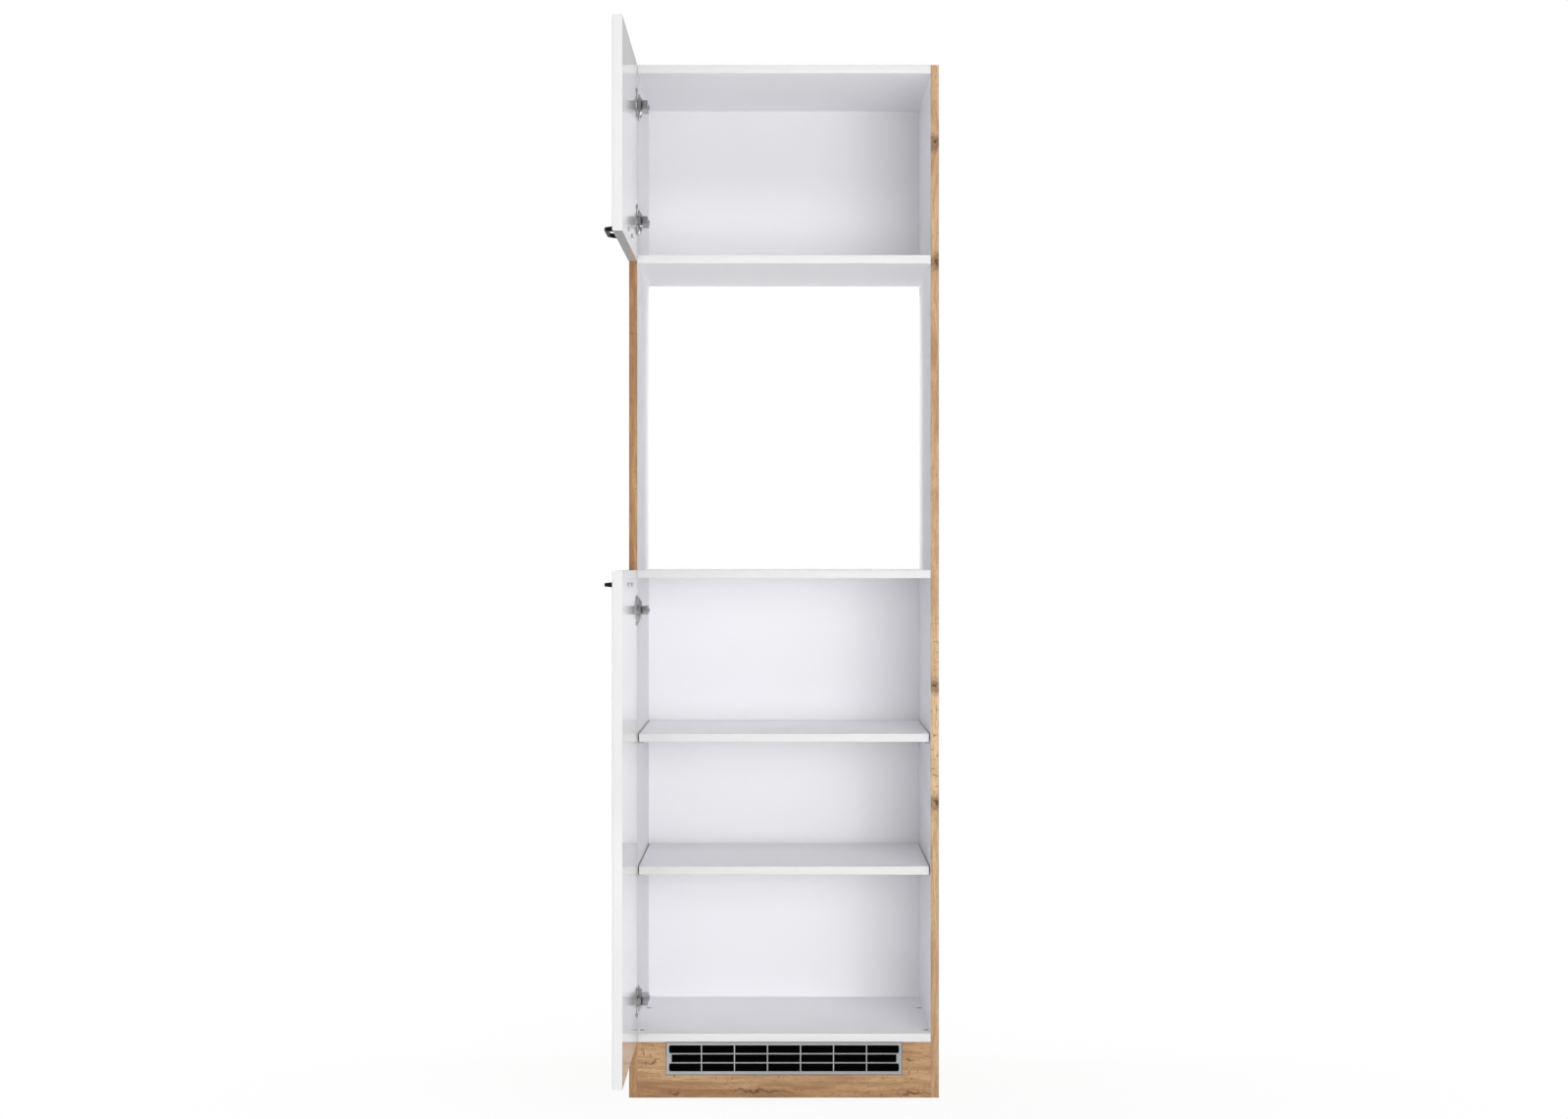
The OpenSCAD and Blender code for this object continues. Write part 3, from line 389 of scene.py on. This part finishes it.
def knots_at(tree, place, knots):
    """A mask that is 1 in the middle of each knot; a knot is its centre and its reach."""
    mask = None
    waver = (0.025, 0.025, 0.025)
    moved = {0: noise_shift(tree, place, 70, 3), 1: waver, 2: place}
    wavering = wire(tree, "VectorMath", moved, operation="MULTIPLY_ADD").outputs[0]
    for centre, reach in knots:
        gap = wire(tree, "VectorMath", {0: wavering, 1: centre}, operation="SUBTRACT").outputs[0]
        share = wire(tree, "VectorMath", {0: gap, 1: reach}, operation="DIVIDE").outputs[0]
        length = wire(tree, "VectorMath", {0: share}, operation="LENGTH").outputs["Value"]
        knot = spread(tree, length, 0.2, 1, 1, 0)
        mask = knot if mask is None else math_of(tree, "MAXIMUM", mask, knot)
    return mask


# Knots on the right side's front edge, by their height, and on both outer faces
side_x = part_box("side_panel_right")[1][0]
board_t = side_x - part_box("side_panel_right")[0][0]
edge_x = side_x - board_t / 2
edge_knot = (0.02, 0.03, 0.022)
face_knot = (0.02, 0.02, 0.038)
upright_knots = [
    ((edge_x + shift, 0, height), edge_knot)
    for shift, height in ((-0.002, 1.85), (0.003, 1.618), (0, 0.797), (0.002, 0.572))
]
upright_knots += [
    ((side_x * side, depth, height), face_knot)
    for side, depth, height in (
        (-1, 0.21, 1.32),
        (-1, 0.38, 0.55),
        (-1, 0.46, 1.76),
        (-1, 0.09, 0.93),
        (1, 0.3, 1.1),
        (1, 0.12, 0.35),
        (1, 0.43, 1.62),
        (1, 0.22, 1.87),
    )
]

# Just short of the band's millimetre, so that the panel's own front face stays bare
band_depth = 0.99 * MM

# The left side gets painted shade towards its front edge, as in the photo
painted_shade_depth = 0.12
rear_painted_shade = 0.25

oak_upright, tree, shader, place = new_finish("oak_decor_upright")
facing = wire(tree, "SeparateXYZ", {0: place["Normal"]}).outputs
spot = wire(tree, "SeparateXYZ", {0: place["Object"]}).outputs
outward = math_of(tree, "MULTIPLY", facing["X"], math_of(tree, "SIGN", spot["X"]))
front = math_of(tree, "LESS_THAN", spot["Y"], band_depth)
behind_band = math_of(tree, "SUBTRACT", 1, front)
turned_in = math_of(tree, "LESS_THAN", outward, -facing_limit)
inner = math_of(tree, "MULTIPLY", behind_band, turned_in)
outer = math_of(tree, "MAXIMUM", math_of(tree, "GREATER_THAN", outward, facing_limit), front)
left_side = math_of(tree, "LESS_THAN", spot["X"], 0)
painted_shade_by_depth = spread(tree, spot["Y"], 0, painted_shade_depth, 1, rear_painted_shade)
left_painted_shade = math_of(tree, "MULTIPLY", left_side, painted_shade_by_depth)
decor = use_group(
    tree,
    oak,
    {
        "Vector": place["Object"],
        "Knots": knots_at(tree, place["Object"], upright_knots),
        "Tone": spread(tree, left_painted_shade, 0, 1, 1, 0),
    },
)
face = white_face(tree, place["Object"])[0]
core = use_group(tree, chipboard, {"Vector": place["Object"]})
colour = blend_colour(tree, outer, core["Color"], decor["Color"])
bare = math_of(tree, "SUBTRACT", 1, math_of(tree, "MAXIMUM", inner, outer))
bare_roughness = math_of(tree, "MULTIPLY", bare, sawn_roughness)
feed(
    tree,
    shader,
    Base_Color=blend_colour(tree, inner, colour, face),
    Roughness=math_of(tree, "MAXIMUM", decor["Roughness"], bare_roughness),
)
bump(tree, shader, decor["Height"], oak_relief)
dress(oak_upright, "side_panel_left", "side_panel_right")

weld_distance = 0.005 * MM
flat_angle = math.radians(0.6)
sharp_angle = math.radians(35)


def take_up(piece):
    """Selects one object alone and makes it active."""
    bpy.ops.object.select_all(action="DESELECT")
    piece.select_set(True)
    bpy.context.view_layer.objects.active = piece


def joined(node, name):
    """A copy of a CAD node under a new name, its triangles joined into plain faces."""
    piece = bpy.data.objects.new(name, parts[node].data.copy())
    bpy.context.scene.collection.objects.link(piece)
    take_up(piece)
    bpy.ops.object.mode_set(mode="EDIT")
    bpy.ops.mesh.select_all(action="SELECT")
    bpy.ops.mesh.customdata_custom_splitnormals_clear()
    bpy.ops.mesh.remove_doubles(threshold=weld_distance)
    bpy.ops.mesh.dissolve_limited(angle_limit=flat_angle)
    bpy.ops.object.mode_set(mode="OBJECT")
    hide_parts(node)
    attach(piece, parts[node]["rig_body"])
    return piece


def ease(piece, width, segments=2):
    """Rounds a piece's sharp edges."""
    take_up(piece)
    bevel = piece.modifiers.new("eased_edges", "BEVEL")
    bevel.width, bevel.segments = width, segments
    bevel.limit_method, bevel.angle_limit = "ANGLE", sharp_angle
    bpy.ops.object.modifier_apply(modifier=bevel.name)
    bpy.ops.object.shade_smooth_by_angle(angle=sharp_angle)
    return piece


def eased(node, name, width, segments=2):
    """A joined copy of a CAD node with rounded edges."""
    return ease(joined(node, name), width, segments)


def cover(piece, material):
    """Gives a finished piece one material in a single slot."""
    piece.data.materials.clear()
    piece.data.materials.append(material)


plinth_edge = 0.7 * MM
plinth_knots = [
    ((-0.212, 0, 0.009), (0.014, 0.02, 0.004)),
    ((-0.05, 0, 0.013), (0.09, 0.02, 0.003)),
    ((0.25, 0, 0.008), (0.04, 0.02, 0.004)),
    ((0.245, 0, 0.075), (0.012, 0.02, 0.003)),
    ((-0.255, 0, 0.07), (0.03, 0.02, 0.002)),
]

# The plinth board gets painted shade that makes it darker than the sides, most of all at its foot
painted_shade_tone_foot, painted_shade_tone_plinth = 0.18, 0.3
foot_height, clear_height = 0.012, 0.05

oak_level, tree, shader, place = new_finish("oak_decor_level")
quarter_turn = {"Vector": place["Object"], "Rotation": (0, math.pi / 2, 0)}
turned = wire(tree, "Mapping", quarter_turn).outputs[0]
mask = knots_at(tree, place["Object"], plinth_knots)
height_up = wire(tree, "SeparateXYZ", {0: place["Object"]}).outputs["Z"]
tone = spread(tree, height_up, foot_height, clear_height, painted_shade_tone_foot, painted_shade_tone_plinth)
decor = use_group(tree, oak, {"Vector": turned, "Knots": mask, "Tone": tone})
facing = wire(tree, "SeparateXYZ", {0: place["Normal"]}).outputs
frontways = math_of(tree, "ABSOLUTE", facing["Y"])
printed = math_of(tree, "GREATER_THAN", frontways, facing_limit)
core = use_group(tree, chipboard, {"Vector": place["Object"]})
bare_roughness = spread(tree, printed, 0, 1, sawn_roughness, 0)
feed(
    tree,
    shader,
    Base_Color=blend_colour(tree, printed, core["Color"], decor["Color"]),
    Roughness=math_of(tree, "MAXIMUM", decor["Roughness"], bare_roughness),
)
bump(tree, shader, decor["Height"], oak_relief)
cover(eased("plinth_board", "plinth_front", plinth_edge), oak_level)


# Edge bands
# One millimetre of plastic band on every front edge, trimmed flush and rounded off: wood decor on
# the sides, white on the boards and the loose shelves.
def plain_finish(name, colours, skin, relief):
    """A factory finish in one colour; gives the material and its shader."""
    made, tree, shader, place = new_finish(name)
    surface = use_group(tree, uneven, {"Vector": place["Object"], **skin})
    colour = blend_colour(tree, surface["Tone"], *colours)
    feed(tree, shader, Base_Color=colour, Roughness=surface["Roughness"])
    bump(tree, shader, surface["Height"], relief)
    return made, shader


band_edge = 0.6 * MM
cover(eased("side_edge_bands", "side_bands", band_edge), oak_upright)

band_white = plain_finish(
    "white_edge_band",
    colours=(grey(0.5), grey(0.62)),
    skin={"Tone": 0.02, "Gloss": 0.4, "Spread": 0.12},
    relief=0.02 * MM,
)[0]
cover(eased("panel_edge_bands", "board_bands", band_edge), band_white)
cover(eased("loose_shelf_edge_bands", "shelf_bands", band_edge), band_white)


# Back panels
# Thin hardboard, lacquered white on the inside and bare brown fibre behind, nailed to the rear
# edges of the sides and boards.
hardboard_relief = 0.02 * MM
fibre_roughness = 0.8
dark_fibre, pale_fibre = (0.2, 0.115, 0.06, 1), (0.37, 0.24, 0.14, 1)
hardboard, tree, shader, place = new_finish("lacquered_hardboard")
facing = wire(tree, "SeparateXYZ", {0: place["Normal"]}).outputs
lacquered = math_of(tree, "LESS_THAN", facing["Y"], -facing_limit)
face, gloss = white_face(tree, place["Object"])[:2]

# The back panels' white gets painted shade, more on the upper panel than the lower one, and the open
# niche lies between the two
lower_painted_shade, upper_painted_shade = 0.06, 0.21
niche_low, niche_high = 1.3, 1.5
height_up = wire(tree, "SeparateXYZ", {0: place["Object"]}).outputs["Z"]
painted_shade_share = spread(tree, height_up, niche_low, niche_high, lower_painted_shade, upper_painted_shade)
face = blend_colour(tree, painted_shade_share, face, grey(0))

felt_noise = {"Vector": place["Object"], "Scale": 480, "Detail": 6, "Roughness": 0.7}
felt = wire(tree, "TexNoise", felt_noise).outputs[0]
press = wire(tree, "TexNoise", {"Vector": place["Object"], "Scale": 9, "Detail": 3}).outputs[0]
fibre = spread(tree, weighted(tree, felt, 0.7, press, 0.3), 0.35, 0.65)
fibre_tone = blend_colour(tree, fibre, dark_fibre, pale_fibre)
rough_back = spread(tree, lacquered, 0, 1, fibre_roughness, 0)
feed(
    tree,
    shader,
    Base_Color=blend_colour(tree, lacquered, fibre_tone, face),
    Roughness=math_of(tree, "MAXIMUM", gloss, rough_back),
)
bump(tree, shader, felt, hardboard_relief)
dress(hardboard, "upper_back_panel", "lower_back_panel")


# Doors
# Eighteen millimetre fibreboard wrapped in white high-gloss foil on both faces, with rounded outer
# edges; each door is bored for two hinge cups and two handle screws.
door_edge = 0.3 * MM
foil_relief = 0.01 * MM
door_gloss, tree, shader, place = new_finish("white_gloss_door_foil")
foil = {"Vector": place["Object"], "Tone": 0.015, "Gloss": 0.1, "Spread": 0.03}
skin = use_group(tree, uneven, foil)
colour = blend_colour(tree, skin["Tone"], grey(0.5), (0.6, 0.6, 0.605, 1))
feed(tree, shader, Base_Color=colour, Roughness=skin["Roughness"])
peel = wire(tree, "TexNoise", {"Vector": place["Object"], "Scale": 60, "Detail": 1}).outputs[0]
bump(tree, shader, peel, foil_relief)
for level in ("upper", "lower"):
    leaf = eased(level + "_door", level + "_door_leaf", door_edge, segments=1)
    cover(leaf, door_gloss)


# Handles
# Cast bow handles in black powder coat: a flat grip on two legs that taper from the door outwards,
# held by two screws through the door.
handle_edge = 0.8 * MM
handle_black, shader = plain_finish(
    "black_powder_coat",
    colours=(grey(0.0008), grey(0.003)),
    skin={"Tone": 0.5, "Gloss": 0.34, "Spread": 0.12},
    relief=0.02 * MM,
)
shader.inputs["Specular IOR Level"].default_value = 0.3
for level in ("upper", "lower"):
    bow = eased(level + "_handle", level + "_bow_handle", handle_edge, segments=3)
    cover(bow, handle_black)


# Fasteners
# Zinc-plated screws, nails, connector bolts and wall brackets, with a faint bluish cloud in the
# plating; the connectors' clamping screws are painted near black, as painted shade in their
# slots, and the hinge hardware is nickel.
plated, given, out = new_group(
    "plated_steel",
    [("Vector", "Vector", None), ("Gloss", "Float", 0.25)],
    [("Tone", "Float"), ("Roughness", "Float"), ("Height", "Float")],
)
cloud = wire(plated, "TexNoise", {"Vector": given["Vector"], "Scale": 60, "Detail": 2}).outputs[0]
drawn = wire(plated, "Mapping", {"Vector": given["Vector"], "Scale": (1, 0.06, 1)}).outputs[0]
marks = wire(plated, "TexNoise", {"Vector": drawn, "Scale": 2600, "Detail": 2}).outputs[0]
plated.links.new(spread(plated, cloud, 0.1, 0.9), out.inputs["Tone"])
shift = math_of(plated, "MULTIPLY", math_of(plated, "SUBTRACT", marks, 0.35), 0.3)
plated.links.new(math_of(plated, "ADD", given["Gloss"], shift), out.inputs["Roughness"])
plated.links.new(marks, out.inputs["Height"])


def head_places(node, axis):
    """The middle of each screw head's outer face, for a CAD node of screws that face +axis."""
    bundle = bpy.data.objects.new("loose_screws", parts[node].data.copy())
    bpy.context.scene.collection.objects.link(bundle)
    take_up(bundle)
    bpy.ops.object.mode_set(mode="EDIT")
    bpy.ops.mesh.select_all(action="SELECT")
    bpy.ops.mesh.remove_doubles(threshold=weld_distance)
    bpy.ops.mesh.separate(type="LOOSE")
    bpy.ops.object.mode_set(mode="OBJECT")
    places = []
    for screw in list(bpy.context.selected_objects):
        points = [vertex.co for vertex in screw.data.vertices]
        low = Vector([min(point[i] for point in points) for i in range(3)])
        high = Vector([max(point[i] for point in points) for i in range(3)])
        middle = (low + high) / 2
        middle[axis] = high[axis]
        places.append(middle)
        bpy.data.objects.remove(screw)
    return places


def cross_punch(length, depth):
    """The tapering cross that stamps a screw's recess; it points down."""
    arm_width = length / 4
    tip_shares = (0.55, 0.7, 1)
    bpy.ops.object.select_all(action="DESELECT")
    bpy.ops.mesh.primitive_cube_add(size=1, location=(0, 0, 0))
    punch = bpy.context.object
    bpy.ops.object.mode_set(mode="EDIT")
    bpy.ops.transform.resize(value=(length, arm_width, 2 * depth))
    bpy.ops.object.mode_set(mode="OBJECT")
    for face in punch.data.polygons:
        face.select = face.normal.z < -facing_limit
    bpy.ops.object.mode_set(mode="EDIT")
    bpy.ops.transform.resize(value=tip_shares)
    bpy.ops.mesh.select_all(action="SELECT")
    bpy.ops.mesh.duplicate()
    bpy.ops.transform.rotate(value=math.pi / 2, orient_axis="Z", center_override=(0, 0, 0))
    bpy.ops.object.mode_set(mode="OBJECT")
    return punch


recess_length, recess_depth = 3.4 * MM, 1.0 * MM

# The numbers of the axes that screw heads face along
across, upward = 0, 2


def recessed(node, name, axis, edge):
    """Screws with eased edges and a cross recess in each head; the heads face +axis."""
    screws = eased(node, name, edge)
    punch = cross_punch(recess_length, recess_depth)
    turn = Matrix.Rotation(math.pi / 2, 4, "Y") if axis == across else Matrix.Identity(4)
    bpy.ops.object.select_all(action="DESELECT")
    for place in head_places(node, axis):
        stamp = bpy.data.objects.new("stamp", punch.data.copy())
        stamp.data.transform(Matrix.Translation(place) @ turn)
        bpy.context.scene.collection.objects.link(stamp)
        stamp.select_set(True)
        bpy.context.view_layer.objects.active = stamp
    bpy.ops.object.join()
    stamps = bpy.context.object
    bpy.data.objects.remove(punch)
    take_up(screws)
    cut = screws.modifiers.new("cross_recess", "BOOLEAN")
    cut.object, cut.operation, cut.solver, cut.use_self = stamps, "DIFFERENCE", "EXACT", True
    bpy.ops.object.modifier_apply(modifier=cut.name)
    bpy.data.objects.remove(stamps)
    return screws


plating_relief = 0.004 * MM


def metal(name, dark, light, gloss, glint=1):
    """A plated steel finish between two tones; glint is the grey of its grazing reflection."""
    made, tree, shader, place = new_finish(name)
    skin = use_group(tree, plated, {"Vector": place["Object"], "Gloss": gloss})
    colour = blend_colour(tree, skin["Tone"], dark, light)
    feed(tree, shader, Base_Color=colour, Roughness=skin["Roughness"])
    shader.inputs["Metallic"].default_value = 1
    shader.inputs["Specular Tint"].default_value = grey(glint)
    bump(tree, shader, skin["Height"], plating_relief)
    return made


screw_edge = 0.35 * MM
bracket_edge = 0.4 * MM
zinc = metal("zinc_plating", (0.5, 0.52, 0.56, 1), (0.68, 0.69, 0.7, 1), gloss=0.3)
# The clamping screws' near-black plating is painted shade for their slots
slot_shade_metal = metal("clamp_screw_slot_shade", grey(0.008), grey(0.03), gloss=0.5, glint=0.1)
nickel = metal("nickel_plating", (0.42, 0.415, 0.41, 1), (0.6, 0.595, 0.585, 1), gloss=0.14)
arm_steel = metal("dark_nickel_arm", (0.34, 0.34, 0.345, 1), grey(0.46), gloss=0.26)
dress(zinc, "connector_bolts", "back_panel_nails")
dress(slot_shade_metal, "connector_clamp_screws")

for node, name, axis in (
    ("wall_bracket_screws", "bracket_screws", upward),
    ("upper_handle_screws", "upper_handle_fixings", across),
    ("lower_handle_screws", "lower_handle_fixings", across),
):
    cover(recessed(node, name, axis, screw_edge), zinc)
cover(eased("corner_block_screws", "block_screws", screw_edge), zinc)
cover(eased("wall_brackets", "steel_angles", bracket_edge), zinc)


# Dowels
# Beech pins, fluted lengthwise, between the fixed boards and the sides and in the plinth board.
# They sit out of sight in their bores.
dark_beech, pale_beech = (0.5, 0.32, 0.18, 1), (0.72, 0.52, 0.33, 1)
beech_relief = 0.05 * MM
beech, tree, shader, place = new_finish("raw_beech")
flecks = wire(tree, "Mapping", {"Vector": place["Object"], "Scale": (0.12, 1, 1)}).outputs[0]
rays = wire(tree, "TexNoise", {"Vector": flecks, "Scale": 900, "Detail": 3}).outputs[0]
feed(tree, shader, Base_Color=blend_colour(tree, rays, dark_beech, pale_beech))
shader.inputs["Roughness"].default_value = 0.75
bump(tree, shader, rays, beech_relief)
dress(beech, "carcass_dowels")


# Connector housings and corner blocks
# White moulded plastic: the housings are let into the boards' top faces, and the corner blocks are
# screwed on behind the plinth board.
block_edge = 0.8 * MM
moulded = plain_finish(
    "white_moulded_plastic",
    colours=(grey(0.5), grey(0.8)),
    skin={"Tone": 0.04, "Gloss": 0.42, "Spread": 0.15},
    relief=0.03 * MM,
)[0]
dress(moulded, "connector_housings")
cover(eased("corner_blocks", "plinth_corner_blocks", block_edge), moulded)


# Concealed hinges
# Pressed and plated steel: a cup let into the door, a link on two pins, an arm that clips over the
# mounting plate, and the plate's two screws in the side panel.
pressed_edge = 0.25 * MM
arm_edge = 0.35 * MM
plate_edge = 0.3 * MM
hinge_screw_edge = 0.3 * MM
for level in ("upper", "lower"):
    cups = eased(level + "_hinge_cups", level + "_cups", pressed_edge)
    cover(cups, nickel)
    links = eased(level + "_hinge_links", level + "_links", pressed_edge)
    cover(links, arm_steel)
    fixings = recessed(level + "_cup_screws", level + "_cup_fixings", across, hinge_screw_edge)
    cover(fixings, nickel)
    dress(nickel, level + "_cup_pins")
cover(eased("hinge_arms", "hinge_arm_shells", arm_edge), arm_steel)
cover(eased("hinge_plates", "mounting_plates", plate_edge), nickel)
for node, name in (("hinge_plate_screws", "plate_screws"), ("hinge_arm_screws", "arm_screws")):
    cover(recessed(node, name, across, hinge_screw_edge), nickel)
dress(nickel, "hinge_arm_pins")


# Shelf pins
# Nickel-plated steel pins, four under each loose shelf, pushed into bores in the sides.
# The shelves lie on them and lift out.
pin_edge = 0.25 * MM
cover(eased("shelf_pins", "shelf_supports", pin_edge), nickel)


# Plinth grille
# A brushed aluminium plate with three rows of slots, let into the plinth board over a black
# plastic box of slanted blades.
rim_chamfer = 1.4 * MM
slot_edge = 0.4 * MM
brushing_relief = 0.006 * MM
dark_brushing, pale_brushing = (0.5, 0.505, 0.51, 1), (0.68, 0.685, 0.69, 1)
# Faces that turn away from the front, the rim's chamfers and the slots' eased edges, get a dark
# grey: painted shade
chamfer_painted_shade = grey(0.3)
brushed, tree, shader, place = new_finish("brushed_aluminium")
drawn = wire(tree, "Mapping", {"Vector": place["Object"], "Scale": (0.02, 1, 1)}).outputs[0]
strokes = wire(tree, "TexNoise", {"Vector": drawn, "Scale": 2200, "Detail": 3}).outputs[0]
flat_front = math_of(tree, "ABSOLUTE", wire(tree, "SeparateXYZ", {0: place["Normal"]}).outputs["Y"])
sheen = blend_colour(tree, strokes, dark_brushing, pale_brushing)
feed(
    tree,
    shader,
    Base_Color=blend_colour(tree, spread(tree, flat_front, 0.8, 0.99), chamfer_painted_shade, sheen),
    Roughness=spread(tree, strokes, 0.3, 0.7, 0.3, 0.48),
)
shader.inputs["Metallic"].default_value = 1
bump(tree, shader, strokes, brushing_relief)

# Only the outer edges of the plate's front face get the wide chamfer
touching = 0.01 * MM
plate = joined("grille_frame", "grille_plate")
low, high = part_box("grille_frame")
for edge in plate.data.edges:
    ends = [plate.data.vertices[i].co for i in edge.vertices]
    on_front = all(end.y < low[1] + touching for end in ends)
    on_rim = any(
        all(abs(end[axis] - corner[axis]) < touching for end in ends)
        for axis in (across, upward)
        for corner in (low, high)
    )
    edge.select = on_front and on_rim
for shape in (plate.data.vertices, plate.data.polygons):
    shape.foreach_set("select", [False] * len(shape))
take_up(plate)
bpy.ops.object.mode_set(mode="EDIT")
bpy.ops.mesh.select_mode(type="EDGE")
bpy.ops.mesh.bevel(offset=rim_chamfer, segments=1, affect="EDGES")
bpy.ops.object.mode_set(mode="OBJECT")
cover(ease(plate, slot_edge), brushed)

louvre_black, shader = plain_finish(
    "black_moulded_plastic",
    colours=(grey(0.0005), grey(0.002)),
    skin={"Tone": 0.5, "Gloss": 0.7, "Spread": 0.15},
    relief=0.03 * MM,
)
shader.inputs["Specular IOR Level"].default_value = 0.04
dress(louvre_black, "grille_louvres")
